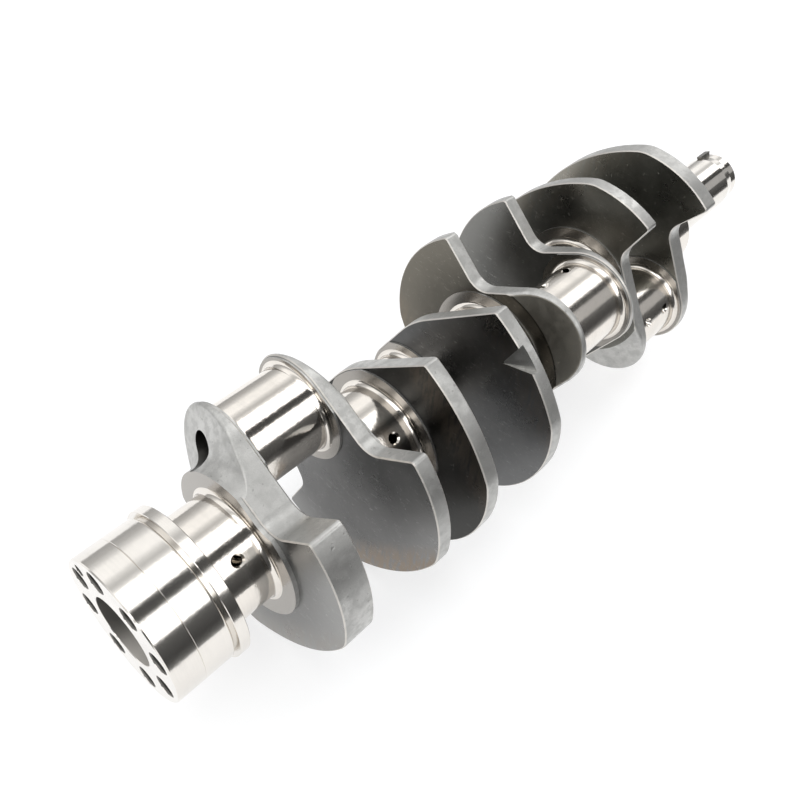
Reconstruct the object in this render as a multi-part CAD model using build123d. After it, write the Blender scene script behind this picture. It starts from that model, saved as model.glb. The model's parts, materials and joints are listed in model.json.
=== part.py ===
from build123d import *
import os
from math import cos, radians, sin, tan

os.makedirs("parts", exist_ok=True)

# Five-bearing cross-plane V8 crankshaft, in millimetres.
# X runs along the crank axis from the rear flange face to the front nose, +Z is up,
# and the origin is the centre of the flange face.

# Stations along the shaft
BORE_SPACING = 117.0
FIRST_ROD_X = 139.4                      # middle of rod journal 4, next to the flange end
ROD_LENGTH = 55.0                        # a rod journal between its two bosses
MAIN_LENGTH = 33.0                       # main journals 2, 3 and 4 between their bosses
SEAM_X = 19.3
SLINGER_X = 42.4
REAR_MAIN_X = 49.8
REAR_MAIN_END = 84.0
FRONT_MAIN_X = 536.0
SNOUT_X = 568.4
NOSE_X = 665.3
END_X = 684.5

# Journals
THROW = 49.9                             # half of the stroke
MAIN_R = 39.1
ROD_R = 31.5
JOURNAL_FILLET = 3.5
REAR_FILLET = 1.5                        # main journal 5 against the slinger
PIN_ANGLE = {4: 45, 3: 315, 2: 135, 1: 225}   # degrees from +Y towards +Z

# Oil drillings
MAIN_OIL_R = 3.2
ROD_OIL_R = 2.6
OIL_MOUTH = 1.3                          # width of the countersink around each mouth
COUNTERSINK_TURN = 40                    # keeps the cone's seam off the hole's edges
MAIN_OIL_ANGLE = 129.5
ROD_OIL_LAG = 75                         # degrees from the pin's own direction
ROD_OIL_OFFSET = 12.5                    # from the middle of the rod journal, one each side

# Flange, seal land and slinger
FLANGE_R = 51.3
SLINGER_R = 53.7
NECK_R = 48.6
NECK_LENGTH = 1.8
LAND_CORNER = 2.2
PILOT_R = 24.8
RELIEF_R = 14.0
RELIEF_END = 57.0
BOLT_CIRCLE_R = 39.5
BOLT_HOLE_R = 7.0                        # to the root of the thread
BOLT_COUNT = 8
BOLT_FIRST_ANGLE = 22.5
BOLT_DEPTH = 38.0
BOLT_MOUTH = 1.1
DOWEL_R = 4.0
DOWEL_CIRCLE_R = 43.5
DOWEL_ANGLE = 40.0
DOWEL_DEPTH = 14.0

# Snout, nose and key
SNOUT_R = 25.1
SNOUT_FILLET = 3.0
NOSE_R = 23.2
TAPER_LENGTH = 10.2
NOSE_THREAD_R = 10.0                     # to the root of the thread
NOSE_THREAD_DEPTH = 55.0
NOSE_CENTRE_R = 11.8
KEY_DISC_R = 8.0
KEY_WIDTH = 5.0
KEY_HEIGHT = 6.5                         # less than the disc's radius: the top is cut flat
KEY_X = 674.5
KEY_TOP_R = 27.0                         # from the crank axis to the key's flat top
KEY_ANGLE = 58.0

# Webs
BOSS_HEIGHT = 1.4
REAR_BOSS_HEIGHT = 3.0
MAIN_BOSS_R = 51.0
REAR_BOSS_R = 54.4
ROD_BOSS_R = 41.0
BOSS_INSET = 1.2                         # a boss stops this far inside the web's edge
ROD_PLATE = (BORE_SPACING - ROD_LENGTH - MAIN_LENGTH) / 2 - 2 * BOSS_HEIGHT   # thickness of webs 2 to 7
PIN_END_R = 38.5
FLANK_ANGLE = 13.5                       # slope of the pin end's straight flanks
LOBE_R = 94.0
KNEE = (6.0, 52.0)                       # where a middle web's long straight side leaves its pin end
CUT_END = (-81.0, 43.5)                  # and where it meets the counterweight's rim
HEEL_R = 150.0                           # flatter arc across the heel of a counterweight
HEEL_CORNER = 28.0
WAIST_FILLET = 16.0
SHOULDER_CORNER = 3.0
EDGE_CHAMFER = 0.8
BEVEL_R = 62.5                           # where the bevel behind a pin end starts
BEVEL_TIP = 3.0                          # web thickness left at the pin end's tip
NOSE_ROUND = 3.0                         # rounds the bevel into the rim
REAR_NOSE_ROUND = 2.0
SCOOP_MIDDLE = (6.5, 56.8)               # on the rear web's hollow: in from its face, and radius
SCOOP_BEND = (13.0, 62.4)                # where the hollow turns straight: from its back, and radius
CUT_HALF_ANGLE = 60.0
LIGHTENING_R = 9.5
LIGHTENING_FROM_AXIS = 63.5
LIGHTENING_DEPTH = 46.0                  # into the rod journal
NOTCH_APEX = (-65.8, 7.6)
NOTCH_LENGTH = 34.0                      # from the apex out past the rim
NOTCH_SIDES = (12.8, -18.1)              # where the notch's two edges end, from the apex
NOTCH_SLOPE = 11.0                       # degrees its floor sinks towards the rim
FAR = 130.0                              # past everything, for the cutting polygons
ROOT = -15.0                             # inside every counterweight

EDGE_BREAK = 0.8
FINE_BREAK = 0.4


def write(node, shape):
    """Save one node and label it."""
    shape.label = node
    export_step(shape, f"parts/{node}.step")


def spoke(angle, radius, x=0.0):
    """The point at this radius and angle about the crank axis."""
    return Vector(x, radius * cos(radians(angle)), radius * sin(radians(angle)))


def lathe(points, angle=0.0, sweep=360.0):
    """Turn an outline of (x, radius) points about the crank axis."""
    outline = Polyline(*points, close=True)
    return turned(make_face(outline), angle, sweep)


def turned(face, angle=0.0, sweep=360.0):
    """Turn a face drawn in x and radius about the crank axis, from this angle on."""
    half_plane = Plane(origin=(0, 0, 0), x_dir=(1, 0, 0), z_dir=(0, -sin(radians(angle)), cos(radians(angle))))
    return revolve(half_plane * face, axis=Axis.X, revolution_arc=sweep)


def drill(start, end, radius):
    """A straight round hole from one point to another."""
    way = end - start
    return Plane(origin=start, z_dir=way) * Cylinder(radius, way.length, align=(Align.CENTER, Align.CENTER, Align.MIN))


def countersink(mouth, direction, radius):
    """The cone that breaks the edge of an oil hole."""
    cone = Cone(radius, radius + 2 * OIL_MOUTH, 2 * OIL_MOUTH)
    return Plane(origin=mouth, z_dir=direction) * Rot(0, 0, COUNTERSINK_TURN) * cone


def pin_centre(throw, x=0.0):
    """Middle of a rod journal's circle."""
    return spoke(PIN_ANGLE[throw], THROW, x)


def rod_middle(throw):
    return FIRST_ROD_X + (4 - throw) * BORE_SPACING


def main_span(number):
    """Where a main journal starts and ends."""
    if number == 5:
        return REAR_MAIN_X, REAR_MAIN_END
    if number == 1:
        return FRONT_MAIN_X, SNOUT_X
    middle = FIRST_ROD_X + (4 - number + 0.5) * BORE_SPACING
    return middle - MAIN_LENGTH / 2, middle + MAIN_LENGTH / 2


def rod_span(throw):
    return rod_middle(throw) - ROD_LENGTH / 2, rod_middle(throw) + ROD_LENGTH / 2


# ---------------------------------------------------------------- journals

def journal(start, end, radius, left=JOURNAL_FILLET, right=JOURNAL_FILLET):
    """A ground journal with a rolled fillet at each end. A right of None is a plain end."""
    lean = 1 - cos(radians(45))
    outline = [Line((start, 0), (start, radius + left)),
               ThreePointArc((start, radius + left), (start + lean * left, radius + lean * left),
                             (start + left, radius))]
    if right is None:
        outline += Polyline((start + left, radius), (end - EDGE_BREAK, radius), (end, radius - EDGE_BREAK),
                            (end, 0), (start, 0)).edges()
    else:
        outline += [Line((start + left, radius), (end - right, radius)),
                    ThreePointArc((end - right, radius), (end - lean * right, radius + lean * right),
                                  (end, radius + right))]
        outline += Polyline((end, radius + right), (end, 0), (start, 0)).edges()
    return turned(make_face(outline))


def rear_main_journal():
    body = journal(*main_span(5), MAIN_R, left=REAR_FILLET)
    return body - drill(Vector(REAR_MAIN_X, 0, 0), Vector(RELIEF_END, 0, 0), RELIEF_R)


def rod_journal(throw):
    body = Pos(*pin_centre(throw)) * journal(*rod_span(throw), ROD_R)
    if throw == 4:
        start = rod_span(throw)[0]
        body -= drill(spoke(PIN_ANGLE[4], LIGHTENING_FROM_AXIS, start),
                      spoke(PIN_ANGLE[4], LIGHTENING_FROM_AXIS, start + LIGHTENING_DEPTH), LIGHTENING_R)
    if throw == 1:
        end = rod_span(throw)[1]
        body -= drill(spoke(PIN_ANGLE[1], LIGHTENING_FROM_AXIS, end - LIGHTENING_DEPTH),
                      spoke(PIN_ANGLE[1], LIGHTENING_FROM_AXIS, end), LIGHTENING_R)
    return body


# ---------------------------------------------------------------- webs

def flank_at(u):
    """Half-width of a pin end's straight flank."""
    slope = radians(FLANK_ANGLE)
    return PIN_END_R * cos(slope) + (THROW + PIN_END_R * sin(slope) - u) * tan(slope)


def shoulder_at(shoulder, v):
    """A counterweight's shoulder line, given as its place at the waist and at the rim."""
    waist_u, rim_u = shoulder
    waist_v = 55.0
    return waist_u + (rim_u - waist_u) * (v - waist_v) / (LOBE_R - waist_v)


def rounded(sketch, corner, radius):
    """Round the one corner of the sketch that is nearest to this point."""
    return fillet(sketch.vertices().sort_by_distance(corner)[0], radius)


def meeting(shoulder):
    """Where a shoulder line meets the flank, as (u, v)."""
    v = flank_at(shoulder[0])
    for _ in range(4):
        v = flank_at(shoulder_at(shoulder, v))
    return shoulder_at(shoulder, v), v


def web_outline(plus, minus, heel):
    """A web seen along the shaft: u points to its crank pin, v is square to that.

    plus and minus are the shoulder lines of the two sides. A plus of None is the side where
    the flank runs straight on to the rim.
    """
    slope = radians(FLANK_ANGLE)
    tangent_u = THROW + PIN_END_R * sin(slope)
    if plus is None:
        slant = (CUT_END[1] - KNEE[1]) / (KNEE[0] - CUT_END[0])
        side = [KNEE, (-FAR, KNEE[1] + (KNEE[0] + FAR) * slant)]
        neck_top = [(tangent_u, flank_at(tangent_u)), KNEE, (ROOT, 0)]
    else:
        side = [(shoulder_at(plus, 0), 0), (shoulder_at(plus, FAR), FAR), (-FAR, FAR)]
        neck_top = [(tangent_u, flank_at(tangent_u)), (ROOT, flank_at(ROOT))]
    wedge = side + [(-FAR, -FAR), (shoulder_at(minus, FAR), -FAR), (shoulder_at(minus, 0), 0)]
    lobe = Circle(LOBE_R) & Polygon(*wedge, align=None)
    lobe = lobe & (Pos(HEEL_R - heel, 0) * Circle(HEEL_R))
    neck = Polygon(*neck_top, (ROOT, -flank_at(ROOT)), (tangent_u, -flank_at(tangent_u)), align=None)
    outline = lobe + neck + Pos(THROW, 0) * Circle(PIN_END_R)

    outline = rounded(outline, (meeting(minus)[0], -meeting(minus)[1]), WAIST_FILLET)
    outline = rounded(outline, (shoulder_at(minus, LOBE_R), -LOBE_R), SHOULDER_CORNER)
    if plus is None:
        outline = rounded(outline, KNEE, LOBE_R)
        outline = rounded(outline, CUT_END, SHOULDER_CORNER)
    else:
        outline = rounded(outline, meeting(plus), WAIST_FILLET)
        outline = rounded(outline, (shoulder_at(plus, LOBE_R), LOBE_R), SHOULDER_CORNER)
        outline = rounded(outline, heel_corner(heel, 1), HEEL_CORNER)
    return rounded(outline, heel_corner(heel, -1), HEEL_CORNER)


def heel_corner(heel, side):
    """Where the heel's flatter arc meets the counterweight's round rim."""
    offset = HEEL_R - heel
    u = (LOBE_R ** 2 + offset ** 2 - HEEL_R ** 2) / (2 * offset)
    return u, side * (LOBE_R ** 2 - u ** 2) ** 0.5


# Shoulder lines (at the waist, at the rim) and heel of each web's counterweight
END_PAIR = {"plus": (5.0, 4.5), "minus": (-4.0, -9.5), "heel": 85.0}
NEXT_PAIR = {"plus": (8.5, 3.0), "minus": (-12.0, -27.0), "heel": 85.5}
MIDDLE_WEBS = {"plus": None, "minus": (18.0, 15.0), "heel": 89.0}
WEB_SHAPE = {8: END_PAIR, 7: NEXT_PAIR, 6: MIDDLE_WEBS, 5: MIDDLE_WEBS,
             4: MIDDLE_WEBS, 3: MIDDLE_WEBS, 2: NEXT_PAIR, 1: END_PAIR}


def web_throw(number):
    return (number + 1) // 2


def web_main(number):
    return number // 2 + 1


def web_faces(number):
    """The main journal's end of a web and the rod journal's end, as x."""
    rod_start, rod_end = rod_span(web_throw(number))
    main_start, main_end = main_span(web_main(number))
    if number % 2 == 0:
        return main_end, rod_start
    return main_start, rod_end


def web_plane(number, x):
    angle = radians(PIN_ANGLE[web_throw(number)])
    return Plane(origin=(x, 0, 0), x_dir=(0, cos(angle), sin(angle)), z_dir=(1, 0, 0))


def boss(number, disc, outline, start, height):
    """A raised ground ring around a journal's end."""
    inside = disc & offset(outline, amount=-BOSS_INSET)
    return extrude(web_plane(number, start) * inside, amount=height)


def pin_side(points, number):
    """A cutter turned about the crank axis, only on the side of the web's pin."""
    return lathe(points, PIN_ANGLE[web_throw(number)] - CUT_HALF_ANGLE, 2 * CUT_HALF_ANGLE)


def bevel(number, face, towards):
    """The cone that thins a pin end on its main journal side."""
    rim = THROW + PIN_END_R
    depth = ROD_PLATE - BEVEL_TIP
    past = (LOBE_R - BEVEL_R) / (rim - BEVEL_R) * depth
    return pin_side([(face - towards, BEVEL_R), (face, BEVEL_R), (face + towards * past, LOBE_R),
                     (face - towards, LOBE_R)], number)


def round_nose(body, radius):
    """Round the long edge between a pin end's bevel and its rim."""
    cone = body.faces().filter_by(GeomType.CONE).sort_by(SortBy.AREA)[-1]
    return fillet(cone.edges().sort_by(SortBy.LENGTH)[-1], radius)


def rear_scoop(face, back):
    """The hollow that thins the rear web's pin end."""
    tip = (back - BEVEL_TIP, THROW + PIN_END_R)
    bend = (back - SCOOP_BEND[0], SCOOP_BEND[1])
    middle = (face + SCOOP_MIDDLE[0], SCOOP_MIDDLE[1])
    far = (tip[0] + (tip[0] - bend[0]) * (LOBE_R - tip[1]) / (tip[1] - bend[1]), LOBE_R)
    start = (face, REAR_BOSS_R)
    outline = [ThreePointArc(start, middle, bend), Line(bend, far)]
    outline += Polyline(far, (face - 1, LOBE_R), (face - 1, REAR_BOSS_R), start).edges()
    return turned(make_face(outline), PIN_ANGLE[4] - CUT_HALF_ANGLE, 2 * CUT_HALF_ANGLE)


def balance_notch(number, face):
    """A three-cornered notch in the heel of a counterweight, deepest at the rim."""
    mark = Polygon((0, 0), (-NOTCH_LENGTH, NOTCH_SIDES[0]), (-NOTCH_LENGTH, NOTCH_SIDES[1]), align=None)
    floor = web_plane(number, face) * Pos(*NOTCH_APEX, 0) * Rot(0, NOTCH_SLOPE, 0) * mark
    return extrude(floor, amount=-2 * ROD_PLATE)


def web(number):
    """One cheek of the crank with its counterweight and its two bosses."""
    main_face, rod_face = web_faces(number)
    towards = 1 if rod_face > main_face else -1
    main_height = REAR_BOSS_HEIGHT if number == 8 else BOSS_HEIGHT
    main_boss_r = REAR_BOSS_R if number == 8 else MAIN_BOSS_R
    main_side = main_face + towards * main_height
    rod_side = rod_face - towards * BOSS_HEIGHT
    low = min(main_side, rod_side)
    outline = web_outline(**WEB_SHAPE[number])
    body = extrude(web_plane(number, low) * outline, amount=abs(rod_side - main_side))
    body = chamfer(body.faces().filter_by(Axis.X).edges(), EDGE_CHAMFER)
    if number == 8:
        body = round_nose(body - rear_scoop(main_side, rod_side), REAR_NOSE_ROUND)
    else:
        body = round_nose(body - bevel(number, main_side, towards), NOSE_ROUND)
    body += boss(number, Circle(main_boss_r), outline, min(main_face, main_side), main_height)
    body += boss(number, Pos(THROW, 0) * Circle(ROD_BOSS_R), outline, min(rod_face, rod_side), BOSS_HEIGHT)
    if number in (1, 8):
        body -= drill(spoke(PIN_ANGLE[web_throw(number)], LIGHTENING_FROM_AXIS, min(main_face, rod_face) - 1),
                      spoke(PIN_ANGLE[web_throw(number)], LIGHTENING_FROM_AXIS, max(main_face, rod_face) + 1),
                      LIGHTENING_R)
    if number == 5:
        body -= balance_notch(number, low)
    return body


# ---------------------------------------------------------------- rear end

def bolt_holes(depth, mouth):
    """Flywheel bolt holes, with their countersunk mouths at the flange face."""
    tool = Cylinder(BOLT_HOLE_R, depth, align=(Align.CENTER, Align.CENTER, Align.MIN))
    if mouth:
        tool += Cone(BOLT_HOLE_R + 2 * BOLT_MOUTH, BOLT_HOLE_R, 2 * BOLT_MOUTH)
    holes = []
    for index in range(BOLT_COUNT):
        angle = BOLT_FIRST_ANGLE + index * 360 / BOLT_COUNT
        holes.append(Plane(origin=spoke(angle, BOLT_CIRCLE_R), z_dir=(1, 0, 0)) * tool)
    return holes


def rear_flange():
    body = lathe([(0, PILOT_R + FINE_BREAK), (0, FLANGE_R - EDGE_BREAK), (EDGE_BREAK, FLANGE_R),
                  (SEAM_X - FINE_BREAK, FLANGE_R), (SEAM_X, FLANGE_R - FINE_BREAK), (SEAM_X, PILOT_R),
                  (FINE_BREAK, PILOT_R)])
    dowel = Cylinder(DOWEL_R, 2 * DOWEL_DEPTH) + Cone(DOWEL_R + 2 * FINE_BREAK, DOWEL_R, 2 * FINE_BREAK)
    body -= bolt_holes(SEAM_X, True)
    return body - Plane(origin=spoke(DOWEL_ANGLE, DOWEL_CIRCLE_R), z_dir=(1, 0, 0)) * dowel


def rear_seal_land():
    neck_x = SLINGER_X - NECK_LENGTH
    corner_x = neck_x - LAND_CORNER
    lean = LAND_CORNER * sin(radians(45))
    corner_r = FLANGE_R - LAND_CORNER
    outline = [Polyline((SEAM_X, PILOT_R), (SEAM_X, FLANGE_R - FINE_BREAK), (SEAM_X + FINE_BREAK, FLANGE_R),
                        (corner_x, FLANGE_R)),
               ThreePointArc((corner_x, FLANGE_R), (corner_x + lean, corner_r + lean), (neck_x, corner_r)),
               Polyline((neck_x, corner_r), (neck_x, NECK_R), (SLINGER_X, NECK_R), (SLINGER_X, PILOT_R),
                        (SEAM_X, PILOT_R))]
    body = turned(make_face([edge for piece in outline for edge in piece.edges()]))
    return body - [Pos(SEAM_X, 0, 0) * hole for hole in bolt_holes(BOLT_DEPTH - SEAM_X, False)]


def oil_slinger_ring():
    return lathe([(SLINGER_X, RELIEF_R), (SLINGER_X, SLINGER_R - FINE_BREAK),
                  (SLINGER_X + FINE_BREAK, SLINGER_R), (REAR_MAIN_X - FINE_BREAK, SLINGER_R),
                  (REAR_MAIN_X, SLINGER_R - FINE_BREAK), (REAR_MAIN_X, RELIEF_R)])


# ---------------------------------------------------------------- front end

def nose_thread():
    """The tapped hole for the damper bolt, with its centre-drilled mouth."""
    hole = drill(Vector(END_X - NOSE_THREAD_DEPTH, 0, 0), Vector(END_X, 0, 0), NOSE_THREAD_R)
    depth = (NOSE_CENTRE_R - NOSE_THREAD_R) * tan(radians(60))
    return hole + lathe([(END_X - depth, 0), (END_X - depth, NOSE_THREAD_R), (END_X, NOSE_CENTRE_R), (END_X, 0)])


def front_snout():
    lean = (1 - cos(radians(45))) * SNOUT_FILLET
    root = SNOUT_R + SNOUT_FILLET
    arc_end = SNOUT_X + SNOUT_FILLET
    outline = [Line((SNOUT_X, 0), (SNOUT_X, root)),
               ThreePointArc((SNOUT_X, root), (SNOUT_X + lean, SNOUT_R + lean), (arc_end, SNOUT_R)),
               Line((arc_end, SNOUT_R), (NOSE_X, SNOUT_R)),
               Line((NOSE_X, SNOUT_R), (NOSE_X, 0)),
               Line((NOSE_X, 0), (SNOUT_X, 0))]
    return turned(make_face(outline)) - nose_thread()


def snout_key():
    """A half-moon key with a flat top."""
    spin = Plane(origin=spoke(KEY_ANGLE, KEY_TOP_R, KEY_X), x_dir=(1, 0, 0),
                 z_dir=(0, -sin(radians(KEY_ANGLE)), cos(radians(KEY_ANGLE))))
    below_top = Pos(0, -KEY_DISC_R) * Rectangle(2 * KEY_DISC_R, 2 * KEY_DISC_R)
    disc = (Pos(0, KEY_DISC_R - KEY_HEIGHT) * Circle(KEY_DISC_R)) & below_top
    return extrude(spin * disc, amount=KEY_WIDTH / 2, both=True)


def snout_nose():
    taper_end = NOSE_X + TAPER_LENGTH
    body = lathe([(NOSE_X, 0), (NOSE_X, SNOUT_R), (taper_end, NOSE_R), (END_X - EDGE_BREAK, NOSE_R),
                  (END_X, NOSE_R - EDGE_BREAK), (END_X, 0)])
    return body - nose_thread() - snout_key()


# ---------------------------------------------------------------- assembly

nodes = {
    "rear_flange": rear_flange(),
    "rear_seal_land": rear_seal_land(),
    "oil_slinger_ring": oil_slinger_ring(),
    "main_journal_5": rear_main_journal(),
    "main_journal_1": journal(*main_span(1), MAIN_R, right=None),
    "front_snout": front_snout(),
    "snout_nose": snout_nose(),
    "snout_key": snout_key(),
}
for number in (4, 3, 2):
    nodes[f"main_journal_{number}"] = journal(*main_span(number), MAIN_R)
for throw in PIN_ANGLE:
    nodes[f"rod_journal_{throw}"] = rod_journal(throw)
for number in WEB_SHAPE:
    nodes[f"web_{number}"] = web(number)


def cut_main_oil_hole(number):
    """A radial drilling from a main journal's surface to the crank axis."""
    start, end = main_span(number)
    middle = (start + end) / 2
    mouth = spoke(MAIN_OIL_ANGLE, MAIN_R, middle)
    outward = spoke(MAIN_OIL_ANGLE, 1)
    node = f"main_journal_{number}"
    nodes[node] -= drill(Vector(middle, 0, 0), mouth + outward * JOURNAL_FILLET, MAIN_OIL_R)
    nodes[node] -= countersink(mouth, outward, MAIN_OIL_R)


def cut_rod_oil_hole(throw, side):
    """A slanting drilling from a rod journal's surface through the web to the main journal's axis."""
    main_number = throw + (1 if side < 0 else 0)
    web_number = 2 * throw - (0 if side < 0 else 1)
    start, end = main_span(main_number)
    surface_angle = PIN_ANGLE[throw] - ROD_OIL_LAG
    outward = spoke(surface_angle, 1)
    mouth = pin_centre(throw, rod_middle(throw) + side * ROD_OIL_OFFSET) + outward * ROD_R
    well = Vector((start + end) / 2, 0, 0)
    way = (mouth - well).normalized()
    passage = drill(well, mouth + way * JOURNAL_FILLET, ROD_OIL_R)
    for node in (f"main_journal_{main_number}", f"web_{web_number}", f"rod_journal_{throw}"):
        nodes[node] -= passage
    nodes[f"rod_journal_{throw}"] -= countersink(mouth, outward, ROD_OIL_R)


for number in (5, 4, 3, 2, 1):
    cut_main_oil_hole(number)
for throw in PIN_ANGLE:
    cut_rod_oil_hole(throw, -1)
    cut_rod_oil_hole(throw, 1)

for node, shape in nodes.items():
    write(node, shape)
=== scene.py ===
import json
import math

import bpy
from mathutils import Matrix, Vector


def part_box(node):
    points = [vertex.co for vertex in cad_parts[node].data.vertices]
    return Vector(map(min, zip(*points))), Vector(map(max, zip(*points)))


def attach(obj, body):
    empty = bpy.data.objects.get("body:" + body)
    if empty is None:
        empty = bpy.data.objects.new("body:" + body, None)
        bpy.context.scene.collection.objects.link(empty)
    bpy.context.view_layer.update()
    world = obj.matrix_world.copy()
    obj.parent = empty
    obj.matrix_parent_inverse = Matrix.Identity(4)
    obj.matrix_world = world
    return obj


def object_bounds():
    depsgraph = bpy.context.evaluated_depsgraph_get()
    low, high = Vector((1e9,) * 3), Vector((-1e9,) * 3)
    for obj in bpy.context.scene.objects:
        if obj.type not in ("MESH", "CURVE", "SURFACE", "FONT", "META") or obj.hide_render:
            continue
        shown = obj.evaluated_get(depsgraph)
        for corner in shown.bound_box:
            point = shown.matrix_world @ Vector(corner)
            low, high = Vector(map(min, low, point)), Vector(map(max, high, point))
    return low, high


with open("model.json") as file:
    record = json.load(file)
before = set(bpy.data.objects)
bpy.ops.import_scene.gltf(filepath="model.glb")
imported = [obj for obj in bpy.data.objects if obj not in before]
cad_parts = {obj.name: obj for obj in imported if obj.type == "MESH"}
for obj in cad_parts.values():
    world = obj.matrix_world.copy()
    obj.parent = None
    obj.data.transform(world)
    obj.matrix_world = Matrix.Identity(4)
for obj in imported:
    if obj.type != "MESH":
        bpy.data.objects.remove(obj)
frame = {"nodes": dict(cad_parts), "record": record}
CAD_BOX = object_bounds()
NODES = frame["nodes"]

bl_info = {
    "name": "Crankshaft Workshop",
    "version": (1, 0, 0),
    "blender": (4, 5, 0),
    "location": "3D View > Sidebar > Crankshaft",
    "description": "Finishes the machined crankshaft, cuts its threads and lights it for a studio view",
    "category": "Object",
}

ROOT = "root"
MM = 0.001
MAIN_JOURNALS = [f"main_journal_{number}" for number in (1, 2, 3, 4, 5)]
ROD_JOURNALS = [f"rod_journal_{number}" for number in (1, 2, 3, 4)]
WEBS = [f"web_{number}" for number in (1, 2, 3, 4, 5, 6, 7, 8)]
MOUNTS = {mount["name"]: mount for mount in frame["record"]["mounts"]}

# How the pieces differ from one another in finish, and in painted shade and painted light
WORN_JOURNALS = ("rod_journal_1", "rod_journal_2", "main_journal_2")
FACE_TONE_AND_SHADE = {                            # how light each web's face is drawn: partly the forged skin's own tone, partly painted shade and painted light for how much light reaches it
    8: (1.10, 1.10, 1.10),
    7: (0.95, 0.95, 0.96),
    6: (0.20, 0.20, 0.195),
    5: (0.66, 0.67, 0.69),
    4: (0.62, 0.58, 0.50),
    3: (0.80, 0.80, 0.78),
    2: (0.98, 0.97, 0.90),
    1: (1.25, 1.24, 1.15),
}
BEVEL_TONE = {4: (0.42, 0.39, 0.33)}     # a bevel that is darker than the other webs'
SCUFFED = {7: 0.80}                      # how much handling has scuffed a counterweight's heel
LIGHTLY_SCUFFED = 0.2                    # the other webs' heels

# Shapes that the finishes, painted shade and painted highlights follow
BOSS_HEIGHT = (1.4 * MM, 1.4 * MM)       # a web's bosses, at its main journal and at its rod journal
REAR_BOSS_HEIGHT = (3.0 * MM, 1.4 * MM)
ON_PLANE = 0.35 * MM                     # how near a plane a point still counts as on it
CORNER = 1.1 * MM                        # how far the painted highlight on a face's chamfered corner reaches
LIGHTENED = {8: "rod_journal_4", 1: "rod_journal_1"}     # end webs, and the journals that their holes enter
LIGHTENING_FROM_AXIS = 63.5 * MM
LIGHTENING_R = 9.5 * MM
MOUTH = 1.0 * MM                         # width of the chamfer round a bolt hole
HOLES_SHADED_FROM = 0.25 * MM             # depth at which painted shade starts in the flange's holes
NOSE_SHADED_FROM = 3.2 * MM               # and the nose's

# Thread ridges
RIDGE_SHARE = 0.80                       # of the pitch that a ridge is wide at its foot
RIDGE_SINK = 0.03 * MM                   # how far its foot goes into the wall
HELIX_STEPS = 28                         # in one turn
SMOOTH_UNDER = math.radians(40)
SAME_PLACE = 0.001 * MM
NOSE_LEAD = 2.4                          # the nose thread's start, in starts of a bolt thread

# Floor
FLOOR_GAP = 0.2 * MM                     # between the floor and the lowest counterweight

# Camera
CAMERA_PLACE = Vector((-0.0812, -0.2455, 0.4719))
CAMERA_RIGHT = Vector((0.6819, -0.7275, 0.0761))
CAMERA_UP = Vector((0.5145, 0.5510, 0.6571))


# ------------------------------------------------------------------ sizes and colours

def colour(label, about, default):
    """A colour setting with no alpha."""
    return bpy.props.FloatVectorProperty(name=label, description=about, default=default, subtype="COLOR",
                                         size=3, min=0.0, max=1.0)


def length(label, about, default):
    """A length setting in metres."""
    return bpy.props.FloatProperty(name=label, description=about, default=default, unit="LENGTH",
                                   subtype="DISTANCE", min=0.0)


def amount(label, about, default):
    """A setting from 0 to 1."""
    return bpy.props.FloatProperty(name=label, description=about, default=default, min=0.0, max=1.0,
                                   subtype="FACTOR")


class CRANK_PG_steel(bpy.types.PropertyGroup):
    ground: colour("Ground steel", "Bright steel of the bearing journals", (0.80, 0.757, 0.700))
    turned: colour("Turned steel", "Bright steel of the flange and the snout", (0.80, 0.768, 0.722))
    forged: colour("Forged face", "Dark skin of the web faces", (0.155, 0.154, 0.150))
    rim: colour("Web rim", "Paler milled rim of the webs", (0.56, 0.557, 0.54))
    scuff: colour("Scuff", "Dull brown handling marks", (0.26, 0.20, 0.145))
    # Dark steel of the key; inside holes and threads the same colour is painted shade
    dark_steel_and_bore_shade: colour("Shaded bore", "Darkened steel inside holes and threads", (0.16, 0.155, 0.145))
    ground_roughness: amount("Ground roughness", "How blurred the journals' reflections are", 0.085)
    wear: amount("Wear", "Extra blur of the journals that have run dullest", 0.05)
    turned_roughness: amount("Turned roughness", "How blurred the flange's reflections are", 0.10)
    forged_roughness: amount("Forged roughness", "How dull the web faces are", 0.30)
    rim_roughness: amount("Rim roughness", "How dull the web rims are", 0.46)


class CRANK_PG_thread(bpy.types.PropertyGroup):
    pitch: length("Pitch", "From one thread crest to the next", 1.5 * MM)
    height: length("Height", "From thread root to crest", 0.85 * MM)
    start: length("Start", "How far inside the mouth the thread begins", 3.2 * MM)
    bolt_depth: length("Bolt thread length", "Length of thread in each flange hole", 21.0 * MM)
    nose_depth: length("Nose thread length", "Length of thread in the nose hole", 24.0 * MM)


class CRANK_PG_studio(bpy.types.PropertyGroup):
    floor: colour("Floor", "Pale studio floor", (0.44, 0.443, 0.45))
    glow: amount("Floor glow", "Light that the lit floor gives of itself", 0.60)
    margin: length("Floor margin", "How far the floor runs past the shaft's ends", 1.1)
    near_side: length("Near side", "How far the floor runs towards -Y", 0.38)
    far_side: length("Far side", "How far the floor runs towards +Y", 1.05)
    lens: bpy.props.FloatProperty(name="Lens", description="Camera focal length", default=39.02,
                                  unit="CAMERA")


# ------------------------------------------------------------------ shader sums

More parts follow.
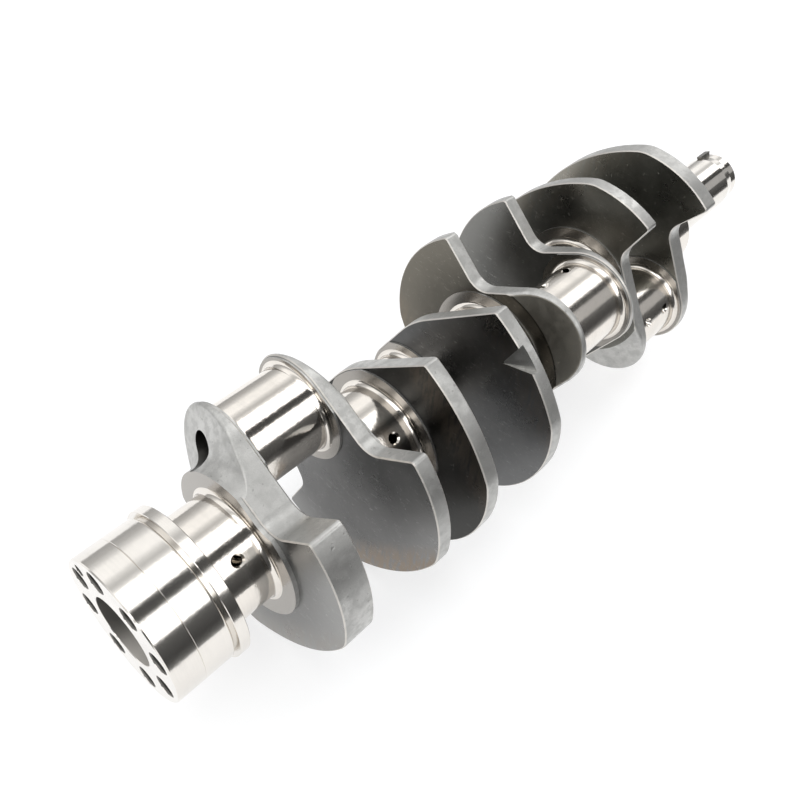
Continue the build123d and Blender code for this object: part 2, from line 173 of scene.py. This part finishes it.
class Wire:
    """One output of a shader node, which Python's operators can do sums with."""

    def __init__(self, finish, socket):
        self.finish = finish
        self.socket = socket

    def sum(self, operation, *others):
        values = dict(enumerate((self,) + others))
        return self.finish.node("ShaderNodeMath", {"operation": operation}, values)

    def __add__(self, other):
        return self.sum("ADD", other)

    def __radd__(self, other):
        return self.sum("ADD", other)

    def __sub__(self, other):
        return self.sum("SUBTRACT", other)

    def __rsub__(self, other):
        return self.finish.node("ShaderNodeMath", {"operation": "SUBTRACT"}, {0: other, 1: self})

    def __mul__(self, other):
        return self.sum("MULTIPLY", other)

    def __truediv__(self, other):
        return self.sum("DIVIDE", other)

    def __abs__(self):
        return self.sum("ABSOLUTE")

    def __lt__(self, other):
        return self.sum("LESS_THAN", other)

    def __gt__(self, other):
        return self.sum("GREATER_THAN", other)

    def __or__(self, other):
        return self.sum("MAXIMUM", other)

    def __and__(self, other):
        return self.sum("MINIMUM", other)

    def ramp(self, low, high, out_low=0.0, out_high=1.0):
        """Eases from out_low to out_high as the value goes from low to high."""
        return self.finish.node("ShaderNodeMapRange", {"interpolation_type": "SMOOTHSTEP"},
                                {0: self, 1: low, 2: high, 3: out_low, 4: out_high})


class Finish:
    """A node tree being wired: a material's, or the world's."""

    def __init__(self, tree):
        self.tree = tree
        tree.nodes.clear()

    def node(self, kind, settings=None, values=None, out=0):
        """Adds a node, sets it up, feeds its sockets and returns the wanted output."""
        made = self.tree.nodes.new(kind)
        for key, value in (settings or {}).items():
            if key == "stops":
                self.stops(made.color_ramp, value)
            else:
                setattr(made, key, value)
        for key, value in (values or {}).items():
            self.feed(made.inputs[key], value)
        return Wire(self, made.outputs[out]) if len(made.outputs) else None

    def stops(self, ramp, stops):
        """Gives a colour ramp its stops."""
        for place, _ in stops[2:]:
            ramp.elements.new(place)
        for element, (place, tone) in zip(ramp.elements, stops):
            element.position = place
            element.color = (*tone, 1.0)

    def feed(self, socket, value):
        """Links a wire to a socket, or sets the socket's own value."""
        if isinstance(value, Wire):
            self.tree.links.new(value.socket, socket)
        elif hasattr(value, "__len__") and len(value) == 3 and socket.type == "RGBA":
            socket.default_value = (*value, 1.0)
        else:
            socket.default_value = value

    def place(self):
        """Object coordinates, which every pattern follows."""
        return self.node("ShaderNodeTexCoord", out="Object")

    def split(self, vector):
        """The three parts of a vector."""
        made = self.node("ShaderNodeSeparateXYZ", values={0: vector}).socket.node
        return [Wire(self, socket) for socket in made.outputs]

    def noise(self, place, scale, detail=3.0, roughness=0.5, stretch=(1, 1, 1), shift=(0, 0, 0)):
        """Soft noise from 0 to 1, whose scale is in patches per metre."""
        spot = self.node("ShaderNodeMapping", values={"Vector": place, "Location": shift, "Scale": stretch})
        return self.node("ShaderNodeTexNoise", {"normalize": True},
                         {"Vector": spot, "Scale": scale, "Detail": detail, "Roughness": roughness})

    def blend(self, mask, low, high):
        """A colour that goes from low to high with the mask."""
        mixed = self.node("ShaderNodeMix", {"data_type": "RGBA"}, {0: mask, 6: low, 7: high})
        return Wire(self, mixed.socket.node.outputs[2])

    def bump(self, height, distance, strength=1.0, under=None):
        """A bumped normal, in metres of height."""
        values = {"Strength": strength, "Distance": distance, "Height": height}
        if under is not None:
            values["Normal"] = under
        return self.node("ShaderNodeBump", values=values)

    def steel(self, base, roughness, metallic, normal=None, **constants):
        """The shader that every metal here ends in."""
        values = {"Base Color": base, "Roughness": roughness, "Metallic": metallic}
        values.update({name.replace("_", " "): value for name, value in constants.items()})
        if normal is not None:
            values["Normal"] = normal
        shader = self.node("ShaderNodeBsdfPrincipled", values=values)
        self.node("ShaderNodeOutputMaterial", values={"Surface": shader})


def new_material(name):
    material = bpy.data.materials.new(name)
    material.use_nodes = True
    return material, Finish(material.node_tree)


def from_axis(y, z, centre=(0.0, 0.0)):
    """Distance from a line along the shaft."""
    across = y - centre[0]
    up = z - centre[1]
    return (across * across + up * up).sum("SQRT")


# ------------------------------------------------------------------ finishes

def toned(tint, share):
    """A colour made lighter or darker."""
    return tuple(part * share for part in tint)


def tinted(tint, filter_tint):
    """A colour multiplied by another."""
    return tuple(part * other for part, other in zip(tint, filter_tint))


def ground_steel(name, base, roughness, seed):
    """Ground and polished steel: grinding lines round the shaft, faint clouds and tiny specks."""
    material, f = new_material(name)
    place = f.place()
    lines = f.noise(place, 40.0, detail=4.0, stretch=(90.0, 1.0, 1.0), shift=(seed, 0, 0))
    clouds = f.noise(place, 55.0, detail=4.0, roughness=0.6, shift=(0, seed, 0))
    specks = f.noise(place, 900.0, detail=2.0, roughness=0.7, shift=(0, 0, seed)).ramp(0.60, 0.74)
    ripple = f.noise(place, 420.0, detail=2.0, shift=(seed, seed, 0))
    tone = clouds.ramp(0.35, 0.75) * 0.55 + lines.ramp(0.3, 0.7) * 0.25
    dull = toned(base, 0.86)
    shade = f.blend(tone, base, dull)
    blur = roughness + clouds.ramp(0.4, 0.8) * 0.05 + lines.ramp(0.35, 0.65) * 0.03 + specks * 0.10
    normal = f.bump(ripple, 0.00008, 0.50)
    normal = f.bump(lines, 0.000004, 0.6, under=normal)
    f.steel(shade, blur, 1.0, normal)
    return material


def turned_steel(name, props, seed):
    """Turned bright steel; its holes are drawn dark and dull with painted shade and a grime mottle, and its
    pilot bore with painted light and shade.
    """
    material, f = new_material(name)
    place = f.place()
    x, y, z = f.split(place)
    radius = from_axis(y, z)
    lines = f.noise(place, 40.0, detail=4.0, stretch=(70.0, 1.0, 1.0), shift=(seed, 0, 0))
    clouds = f.noise(place, 45.0, detail=4.0, roughness=0.6, shift=(0, seed, 0))
    ripple = f.noise(place, 400.0, detail=2.0, shift=(seed, seed, 0))
    grime = f.noise(place, 160.0, detail=5.0, roughness=0.65)
    pilot = MOUNTS["pilot_bore"]["dims"]["r_mm"] * MM
    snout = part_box("front_snout")[0].x
    inside = (radius < pilot + 0.1 * MM) & (x < snout)
    holes = (bolt_hole_mask(y, z) | dowel_hole_mask(y, z)) & (x > HOLES_SHADED_FROM) & (x < snout)
    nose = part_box("snout_nose")[1].x
    thread = (MOUNTS["nose_thread"]["dims"]["r_mm"] + 0.2) * MM
    tapped = (radius < thread) & (x > snout) & (x < nose - NOSE_SHADED_FROM)
    shaded_holes = holes | tapped
    tone = clouds.ramp(0.35, 0.75) * 0.5 + lines.ramp(0.3, 0.7) * 0.25
    bright = f.blend(tone, tuple(props.turned), toned(props.turned, 0.87))
    # Painted shade inside the holes and the nose's tapped bore, mottled with grime
    bore = f.blend(grime.ramp(0.35, 0.7), toned(props.dark_steel_and_bore_shade, 1.2), toned(props.dark_steel_and_bore_shade, 0.7))
    # Painted light and shade in the pilot bore: lighter on the -Y side, darker on the +Y side
    painted_bore_light = f.blend((y / (-pilot)).ramp(-0.75, 0.35), toned(props.dark_steel_and_bore_shade, 0.7),
                    toned(props.turned, 0.95))
    shade = f.blend(inside, bright, painted_bore_light)
    shade = f.blend(shaded_holes, shade, bore)
    shine = props.turned_roughness + clouds.ramp(0.4, 0.8) * 0.05 + lines.ramp(0.35, 0.65) * 0.03
    blur = shine + shaded_holes * (0.30 + grime * 0.12) + inside * 0.22
    normal = f.bump(ripple, 0.00008, 0.3)
    normal = f.bump(lines, 0.000005, 0.6, under=normal)
    f.steel(shade, blur, 1.0 - inside * 0.55, normal)
    return material


def bolt_hole_mask(y, z):
    """1 inside the flange's bolt holes, found by folding the circle onto one hole."""
    bolts = MOUNTS["flange_bolts"]["dims"]
    step = math.tau / bolts["count"]
    angle = z.sum("ARCTAN2", y)
    folded = (angle / step).sum("FRACT") * step
    folded = folded - step / 2
    radius = from_axis(y, z)
    along = radius * folded.sum("COSINE") - bolts["pcd_mm"] * MM / 2
    across = radius * folded.sum("SINE")
    return (along * along + across * across).sum("SQRT") < bolts["hole_r_mm"] * MM + MOUTH


def dowel_hole_mask(y, z):
    """1 inside the flange's dowel hole."""
    dowel = MOUNTS["dowel_hole"]
    return from_axis(y, z, dowel["pos_m"][1:]) < (dowel["dims"]["r_mm"] + 0.3) * MM


def forged_web(number, props):
    """A web: dark cloudy faces drawn darker towards the journals as painted shade, paler milled rim, polished
    bosses and painted highlights along the chamfered edges.
    """
    node = f"web_{number}"
    low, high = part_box(node)
    material, f = new_material(f"{node}_steel")
    place = f.place()
    x, y, z = f.split(place)
    facing = f.split(f.node("ShaderNodeNewGeometry", out="Normal"))[0]
    flat = abs(facing)
    from_low = x - low.x
    from_high = high.x - x
    boss = ((from_low < ON_PLANE) | (from_high < ON_PLANE)) & (flat > 0.5)
    heights = REAR_BOSS_HEIGHT if number == 8 else BOSS_HEIGHT
    first, last = heights if number % 2 == 0 else reversed(heights)
    plate_low = abs(from_low - first)
    plate_high = abs(from_high - last)
    face = ((plate_low < ON_PLANE) | (plate_high < ON_PLANE)) & (flat > 0.9)
    edge_highlight = (flat > 0.55) & (flat < 0.85) & ((plate_low < CORNER) | (plate_high < CORNER))

    seed = number * 3.1
    clouds = f.noise(place, 24.0, detail=5.0, roughness=0.62, shift=(0, seed, 0))
    mottle = f.noise(place, 150.0, detail=4.0, roughness=0.6, shift=(seed, 0, 0))
    grain = f.noise(place, 1700.0, detail=2.0, roughness=0.6, shift=(0, 0, seed))
    scale = f.noise(place, 520.0, detail=3.0, roughness=0.6, shift=(seed, seed, 0))
    pits = f.noise(place, 330.0, detail=1.0, shift=(seed, 0, seed)).ramp(0.70, 0.76)
    streaks = f.noise(place, 30.0, detail=5.0, roughness=0.7, stretch=(1.0, 8.0, 1.6), shift=(0, 0, seed))

    pin = Vector(MOUNTS[f"rod_journal_{(number + 1) // 2}"]["pos_m"])
    away = Vector((0, -pin.y, -pin.z)).normalized()
    heel = (y * away.y + z * away.z).ramp(0.056, 0.076) * SCUFFED.get(number, LIGHTLY_SCUFFED)
    scratches = f.noise(place, 42.0, detail=1.0, stretch=(1.0, 0.9, 9.0), shift=(0, seed, seed))
    scratches = scratches.ramp(0.488, 0.498) & (1.0 - scratches.ramp(0.502, 0.512))
    scratches = scratches * mottle.ramp(0.50, 0.60)
    # Each web's face colour holds painted shade and painted light as well as the skin's own tone
    forged = tinted(props.forged, FACE_TONE_AND_SHADE[number])
    dark = f.blend(clouds.ramp(0.30, 0.74), toned(forged, 0.82), toned(forged, 1.12))
    dark = f.blend(mottle.ramp(0.50, 0.80) * 0.12, dark, toned(forged, 1.7))
    # Painted shade: each face is drawn darker near the journals and lighter towards its rim
    dark = f.blend(from_axis(y, z).ramp(0.052, 0.096) * 0.62, dark, toned(forged, 2.1))
    dark = f.blend(streaks.ramp(0.36, 0.56) * heel, dark, tuple(props.scuff))
    dark = f.blend(scratches * 0.45, dark, toned(forged, 3.2))
    rim = tuple(props.rim)
    pale = f.blend(clouds.ramp(0.36, 0.70), toned(rim, 0.84), toned(rim, 1.14))
    pale = f.blend(mottle.ramp(0.40, 0.62) * 0.6, pale, toned(rim, 0.74))
    pale = f.blend(grain.ramp(0.38, 0.66) * 0.28, pale, toned(rim, 0.62))
    pale = f.blend(pits * 0.4, pale, toned(rim, 0.40))
    ground = tuple(props.ground)
    boss_shade = toned(ground, 0.46)
    if number in BEVEL_TONE:
        bevelled = (flat > 0.80) & (flat < 0.97)
        pale = f.blend(bevelled * 0.8, pale, tinted(rim, BEVEL_TONE[number]))

    shade = f.blend(face, pale, dark)
    if number in LIGHTENED:
        # Painted shade inside the lightening hole's wall
        bore = lightening_mask(number, y, z) & (flat < 0.3)
        shade = f.blend(bore, shade, toned(props.dark_steel_and_bore_shade, 0.5))
    # Painted highlight along the chamfered corners of the faces
    shade = f.blend(edge_highlight * 0.55, shade, toned(ground, 0.92))
    shade = f.blend(boss, shade, boss_shade)
    face_blur = props.forged_roughness + clouds.ramp(0.35, 0.7, -0.03, 0.04) + streaks.ramp(0.6, 0.75) * 0.05
    rim_blur = props.rim_roughness + mottle.ramp(0.4, 0.7, -0.05, 0.06)
    blur = rim_blur * (1.0 - face) + face_blur * face
    blur = blur * (1.0 - boss) + boss * (props.ground_roughness + 0.14)
    soft = 1.0 - boss * 0.93
    normal = f.bump(grain * soft, 0.00005, 0.45)
    normal = f.bump(scale * soft, 0.00012, 0.25, under=normal)
    normal = f.bump((1.0 - pits) * soft, 0.00018, 0.5, under=normal)
    f.steel(shade, blur, 1.0, normal)
    return material


def lightening_mask(number, y, z):
    """1 inside an end web's lightening hole."""
    pin = Vector(MOUNTS[LIGHTENED[number]]["pos_m"])
    out = Vector((0, pin.y, pin.z)).normalized() * LIGHTENING_FROM_AXIS
    return from_axis(y, z, (out.y, out.z)) < LIGHTENING_R + 0.15 * MM


def shaded_thread(name, props):
    """Cut threads, drawn dark as painted shade inside their holes, with a grime mottle."""
    material, f = new_material(name)
    place = f.place()
    grime = f.noise(place, 260.0, detail=3.0, roughness=0.6)
    crests = f.noise(place, 1300.0, detail=2.0)
    shade = f.blend(grime.ramp(0.35, 0.75), toned(props.dark_steel_and_bore_shade, 1.5), toned(props.dark_steel_and_bore_shade, 0.8))
    f.steel(shade, 0.34 + grime * 0.12, 1.0, f.bump(crests, 0.00002, 0.3))
    return material


def key_steel(name, props):
    """Plain dark key stock, a little rounded and dull."""
    material, f = new_material(name)
    place = f.place()
    clouds = f.noise(place, 220.0, detail=4.0, roughness=0.6)
    grain = f.noise(place, 1800.0, detail=2.0)
    dark = toned(props.dark_steel_and_bore_shade, 1.3)
    shade = f.blend(clouds.ramp(0.35, 0.7), dark, toned(props.dark_steel_and_bore_shade, 1.8))
    f.steel(shade, 0.30 + clouds * 0.14, 1.0, f.bump(grain, 0.00003, 0.4))
    return material


def coat(node, material):
    """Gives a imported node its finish."""
    slots = NODES[node].material_slots
    if not slots:
        raise RuntimeError(f"{node} has no material slot")
    for slot in slots:
        slot.material = material


def finish_journals(nodes, props, first_seed, step):
    """Gives ground journals their steel, each with its own pattern."""
    for index, node in enumerate(nodes):
        blur = props.ground_roughness + props.wear * (node in WORN_JOURNALS)
        coat(node, ground_steel(f"{node}_steel", tuple(props.ground), blur, first_seed + index * step))


# ------------------------------------------------------------------ modelling helpers

def start_piece():
    """Leaves nothing selected, in object mode."""
    if bpy.context.object and bpy.context.object.mode != "OBJECT":
        bpy.ops.object.mode_set(mode="OBJECT")
    bpy.ops.object.select_all(action="DESELECT")


def only(piece):
    """Selects one piece and makes it the active one."""
    start_piece()
    piece.select_set(True)
    bpy.context.view_layer.objects.active = piece


def settle(piece):
    """Puts the piece's place into its mesh."""
    only(piece)
    bpy.ops.object.transform_apply(location=True, rotation=True, scale=True)


def thread_ridge(name, root, props, depth):
    """A helical thread ridge that stands inward from a hole's wall, along +Z from the origin."""
    start_piece()
    bpy.ops.mesh.primitive_circle_add(vertices=3, radius=props.height, fill_type="NOTHING",
                                      location=(0, 0, 0), rotation=(math.pi / 2, 0, 0))
    piece = bpy.context.object
    piece.name = name
    settle(piece)
    bpy.ops.object.mode_set(mode="EDIT")
    bpy.ops.mesh.select_all(action="SELECT")
    bpy.ops.transform.rotate(value=math.radians(90), orient_axis="Y", center_override=(0, 0, 0))
    bpy.ops.object.mode_set(mode="OBJECT")
    across = [point.co.x for point in piece.data.vertices]
    tall = [point.co.z for point in piece.data.vertices]
    deep = max(across) - min(across)
    bpy.ops.object.mode_set(mode="EDIT")
    wide = max(tall) - min(tall)
    bpy.ops.transform.resize(value=(props.height / deep, 1.0, RIDGE_SHARE * props.pitch / wide),
                             center_override=(0, 0, 0))
    bpy.ops.object.mode_set(mode="OBJECT")
    innermost = min(point.co.x for point in piece.data.vertices)
    points_inward = sum(point.co.x < innermost + SAME_PLACE for point in piece.data.vertices) == 1
    bpy.ops.object.mode_set(mode="EDIT")
    if not points_inward:
        bpy.ops.transform.resize(value=(-1.0, 1.0, 1.0), center_override=(0, 0, 0))
    bpy.ops.object.mode_set(mode="OBJECT")
    outer = max(point.co.x for point in piece.data.vertices)
    bpy.ops.object.mode_set(mode="EDIT")
    bpy.ops.mesh.select_all(action="SELECT")
    bpy.ops.transform.translate(value=(root - outer + RIDGE_SINK, 0, 0))
    bpy.ops.object.mode_set(mode="OBJECT")
    screw = piece.modifiers.new("helix", "SCREW")
    screw.axis = "Z"
    screw.screw_offset = props.pitch
    screw.iterations = max(1, int(depth / props.pitch))
    screw.steps = HELIX_STEPS
    screw.render_steps = HELIX_STEPS
    screw.use_merge_vertices = False
    only(piece)
    bpy.ops.object.modifier_apply(modifier=screw.name)
    bpy.ops.object.mode_set(mode="EDIT")
    bpy.ops.mesh.select_mode(type="EDGE")
    bpy.ops.mesh.select_all(action="DESELECT")
    bpy.ops.mesh.select_non_manifold()
    bpy.ops.mesh.fill_holes(sides=3)
    bpy.ops.mesh.select_all(action="SELECT")
    bpy.ops.mesh.normals_make_consistent(inside=False)
    bpy.ops.object.mode_set(mode="OBJECT")
    bpy.ops.object.shade_smooth_by_angle(angle=SMOOTH_UNDER)
    return piece


def stand_in_hole(piece, mouth, inward):
    """Lays a ridge made along +Z into a hole, from its mouth inward."""
    turn = Vector((0, 0, 1)).rotation_difference(Vector(inward)).to_matrix().to_4x4()
    piece.matrix_world = Matrix.Translation(Vector(mouth)) @ turn
    settle(piece)
    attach(piece, ROOT)


# ------------------------------------------------------------------ operators

class CRANK_OT_main_journals(bpy.types.Operator):
    """Finish the five ground main bearing journals"""
    bl_idname = "crank.main_journals"
    bl_label = "Main journals"

    def execute(self, context):
        finish_journals(MAIN_JOURNALS, context.scene.crank_steel, 0, 2.7)
        return {"FINISHED"}


class CRANK_OT_rod_journals(bpy.types.Operator):
    """Finish the four ground connecting rod journals"""
    bl_idname = "crank.rod_journals"
    bl_label = "Rod journals"

    def execute(self, context):
        finish_journals(ROD_JOURNALS, context.scene.crank_steel, 20, 3.3)
        return {"FINISHED"}


class CRANK_OT_webs(bpy.types.Operator):
    """Finish the eight forged webs with their milled rims"""
    bl_idname = "crank.webs"
    bl_label = "Webs"

    def execute(self, context):
        props = context.scene.crank_steel
        for node in WEBS:
            coat(node, forged_web(int(node.split("_")[1]), props))
        return {"FINISHED"}


class CRANK_OT_rear_end(bpy.types.Operator):
    """Finish the flange, the seal land and the oil slinger"""
    bl_idname = "crank.rear_end"
    bl_label = "Rear flange"

    def execute(self, context):
        props = context.scene.crank_steel
        for seed, node in enumerate(("rear_flange", "rear_seal_land", "oil_slinger_ring")):
            coat(node, turned_steel(f"{node}_steel", props, 1.0 + seed))
        return {"FINISHED"}


class CRANK_OT_front_end(bpy.types.Operator):
    """Finish the snout and its nose"""
    bl_idname = "crank.front_end"
    bl_label = "Front snout"

    def execute(self, context):
        props = context.scene.crank_steel
        for seed, node in enumerate(("front_snout", "snout_nose")):
            coat(node, turned_steel(f"{node}_steel", props, 7.0 + seed))
        return {"FINISHED"}


class CRANK_OT_key(bpy.types.Operator):
    """Finish the half-moon key"""
    bl_idname = "crank.key"
    bl_label = "Snout key"

    def execute(self, context):
        coat("snout_key", key_steel("snout_key_steel", context.scene.crank_steel))
        return {"FINISHED"}


class CRANK_OT_bolt_threads(bpy.types.Operator):
    """Cut the thread in each of the flange's bolt holes"""
    bl_idname = "crank.bolt_threads"
    bl_label = "Flange bolt threads"

    def execute(self, context):
        props = context.scene.crank_thread
        bolts = MOUNTS["flange_bolts"]["dims"]
        finish = shaded_thread("bolt_thread_steel", context.scene.crank_steel)
        first = thread_ridge("bolt_thread_1", bolts["hole_r_mm"] * MM, props, props.bolt_depth)
        first.data.materials.append(finish)
        pieces = [first]
        for number in range(2, bolts["count"] + 1):
            copy = first.copy()
            copy.data = first.data.copy()
            copy.name = f"bolt_thread_{number}"
            context.collection.objects.link(copy)
            pieces.append(copy)
        radius = bolts["pcd_mm"] * MM / 2
        for index, piece in enumerate(pieces):
            angle = math.tau * (index + 0.5) / bolts["count"]
            stand_in_hole(piece, (props.start, radius * math.cos(angle), radius * math.sin(angle)), (1, 0, 0))
        return {"FINISHED"}


class CRANK_OT_nose_thread(bpy.types.Operator):
    """Cut the damper bolt's thread in the nose"""
    bl_idname = "crank.nose_thread"
    bl_label = "Nose thread"

    def execute(self, context):
        props = context.scene.crank_thread
        wall = MOUNTS["nose_thread"]["dims"]["r_mm"] * MM
        piece = thread_ridge("nose_thread_ridge", wall, props, props.nose_depth)
        piece.data.materials.append(shaded_thread("nose_thread_steel", context.scene.crank_steel))
        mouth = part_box("snout_nose")[1].x - NOSE_LEAD * props.start
        stand_in_hole(piece, (mouth, 0, 0), (-1, 0, 0))
        return {"FINISHED"}


class CRANK_OT_studio(bpy.types.Operator):
    """Lay the pale floor and set up the soft light and the camera"""
    bl_idname = "crank.studio"
    bl_label = "Studio"

    def execute(self, context):
        props = context.scene.crank_studio
        lay_floor(props)
        light_studio(context.scene)
        stand_camera(context.scene, props.lens)
        return {"FINISHED"}


# ------------------------------------------------------------------ studio

# Angle about the shaft, in degrees from +Y over the top to -Y and round, with the light's strength there.
STRIPS = [
    (0.0, 0.48), (10.0, 0.55), (20.0, 0.80), (29.0, 1.20), (48.0, 1.25), (57.0, 0.84), (64.0, 0.62),
    (71.0, 0.90), (76.0, 2.1), (101.5, 2.1), (104.0, 0.06), (120.5, 0.08), (123.0, 2.1), (153.0, 2.1),
    (156.0, 0.12), (170.0, 0.09), (184.0, 0.06), (193.0, 0.12), (204.0, 0.4), (216.0, 0.7), (335.0, 0.7),
    (352.0, 0.45),
]
STRIP_SCALE = 2.0                        # the ramp holds the strengths divided by this
FAR_STRIP = (118, 157)                   # degrees between which the light is weaker towards the nose
FAR_STRIP_LOSS = 0.78


def lay_floor(props):
    """A pale floor under the counterweights."""
    low, high = CAD_BOX
    start_piece()
    bpy.ops.mesh.primitive_plane_add(size=1.0)
    floor = bpy.context.object
    floor.name = "studio_floor"
    wide = high[0] - low[0] + 2 * props.margin
    floor.scale = (wide, props.far_side + props.near_side, 1.0)
    floor.location = ((low[0] + high[0]) / 2, (props.far_side - props.near_side) / 2, low[2] - FLOOR_GAP)
    settle(floor)
    material, f = new_material("studio_floor_paper")
    place = f.place()
    cloud = f.noise(place, 3.0, detail=2.0)
    shade = f.blend(cloud, toned(props.floor, 0.985), tuple(props.floor))
    f.steel(shade, 0.65, 0.0, f.bump(f.noise(place, 900.0), 0.00003, 0.2),
            Emission_Color=(1.0, 1.0, 1.0), Emission_Strength=props.glow)
    floor.data.materials.append(material)


def light_studio(scene):
    """Long soft boxes parallel to the shaft, with narrow gaps between them."""
    world = bpy.data.worlds.new("studio_light")
    world.use_nodes = True
    scene.world = world
    f = Finish(world.node_tree)
    x, y, z = f.split(f.node("ShaderNodeTexCoord", out="Generated"))
    turn = (z.sum("ARCTAN2", y) / math.tau + 1.0).sum("FRACT")
    stops = [(degrees / 360, (power / STRIP_SCALE,) * 3) for degrees, power in STRIPS]
    strength = f.node("ShaderNodeValToRGB", {"stops": stops}, {"Fac": turn})
    far_end = x.ramp(0.50, 0.68) * (turn > FAR_STRIP[0] / 360) * (turn < FAR_STRIP[1] / 360)
    strength = f.blend(far_end * FAR_STRIP_LOSS, strength, (0.0, 0.0, 0.0))
    box = f.node("ShaderNodeBackground", values={"Color": strength, "Strength": STRIP_SCALE})
    plain = f.node("ShaderNodeBackground", values={"Color": (1.0, 1.0, 1.0), "Strength": 1.0})
    seen = f.node("ShaderNodeLightPath", out="Is Camera Ray")
    both = f.node("ShaderNodeMixShader", values={0: seen, 1: box, 2: plain})
    f.node("ShaderNodeOutputWorld", values={"Surface": both})
    scene.view_settings.view_transform = "Standard"
    scene.view_settings.look = "None"


def stand_camera(scene, lens):
    """The camera above the flange end, looking down along the shaft."""
    back = CAMERA_RIGHT.cross(CAMERA_UP)
    data = bpy.data.cameras.new("studio_camera")
    data.lens = lens
    data.sensor_width = 36.0
    data.clip_start = 0.01
    camera = bpy.data.objects.new("studio_camera", data)
    scene.collection.objects.link(camera)
    turn = Matrix((CAMERA_RIGHT, CAMERA_UP, back)).transposed().to_4x4()
    camera.matrix_world = Matrix.Translation(CAMERA_PLACE) @ turn
    scene.camera = camera


# ------------------------------------------------------------------ panel and registration

STEPS = (
    CRANK_OT_main_journals,
    CRANK_OT_rod_journals,
    CRANK_OT_webs,
    CRANK_OT_rear_end,
    CRANK_OT_front_end,
    CRANK_OT_key,
    CRANK_OT_bolt_threads,
    CRANK_OT_nose_thread,
    CRANK_OT_studio,
)


class CRANK_PT_workshop(bpy.types.Panel):
    """The crankshaft's pieces and settings"""
    bl_idname = "CRANK_PT_workshop"
    bl_label = "Crankshaft"
    bl_space_type = "VIEW_3D"
    bl_region_type = "UI"
    bl_category = "Crankshaft"

    def draw(self, context):
        for step in STEPS:
            self.layout.operator(step.bl_idname)
        for group in (context.scene.crank_steel, context.scene.crank_thread, context.scene.crank_studio):
            box = self.layout.box()
            for name in group.__annotations__:
                box.prop(group, name)


GROUPS = {"crank_steel": CRANK_PG_steel, "crank_thread": CRANK_PG_thread, "crank_studio": CRANK_PG_studio}


def register():
    for kind in (*GROUPS.values(), *STEPS, CRANK_PT_workshop):
        bpy.utils.register_class(kind)
    for name, kind in GROUPS.items():
        setattr(bpy.types.Scene, name, bpy.props.PointerProperty(type=kind))


def unregister():
    for name in GROUPS:
        delattr(bpy.types.Scene, name)
    for kind in reversed((*GROUPS.values(), *STEPS, CRANK_PT_workshop)):
        bpy.utils.unregister_class(kind)


def main():
    register()
    for step in STEPS:
        group, name = step.bl_idname.split(".")
        if getattr(getattr(bpy.ops, group), name)() != {"FINISHED"}:
            raise RuntimeError(f"{step.bl_label} did not finish")


if __name__ == "__main__":
    main()
